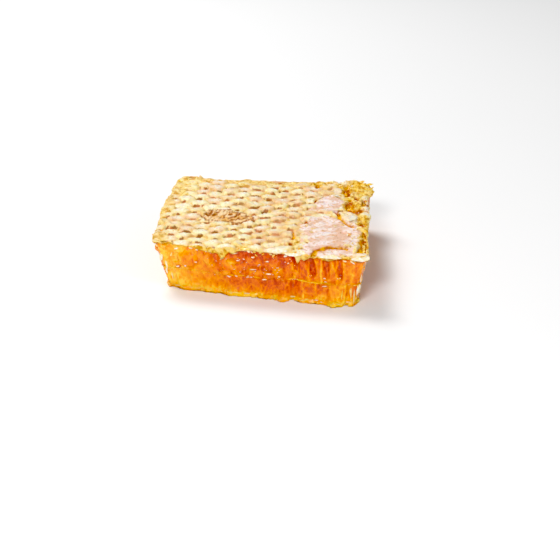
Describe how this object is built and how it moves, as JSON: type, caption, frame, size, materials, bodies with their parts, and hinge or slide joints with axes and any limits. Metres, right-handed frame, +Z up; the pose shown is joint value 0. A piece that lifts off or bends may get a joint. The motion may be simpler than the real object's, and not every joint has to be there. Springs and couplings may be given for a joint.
{
  "type": "honeycomb piece",
  "caption": "Hand-cut square block of capped honeycomb: domed wax cappings over layers of honey-filled cells parted by a wax midrib.",
  "frame": {"origin": "middle of the block's box, at the underside it rests on", "axes": "+Z up through the cells, +X to the right along the cut front, +Y from the front to the back"},
  "size_m": [0.074, 0.073, 0.0181],
  "materials": {
    "pale_wax": "pale, slightly waxy capping with brownish grooves",
    "yellow_wax": "soft yellow wax wetted with honey",
    "honey": "wet, glossy, translucent amber"
  },
  "bodies": {
    "root": {"bottom_capping": "yellow_wax", "lower_cells": "honey", "midrib": "yellow_wax", "upper_cells": "honey", "top_capping": "pale_wax"}
  },
  "joints": []
}
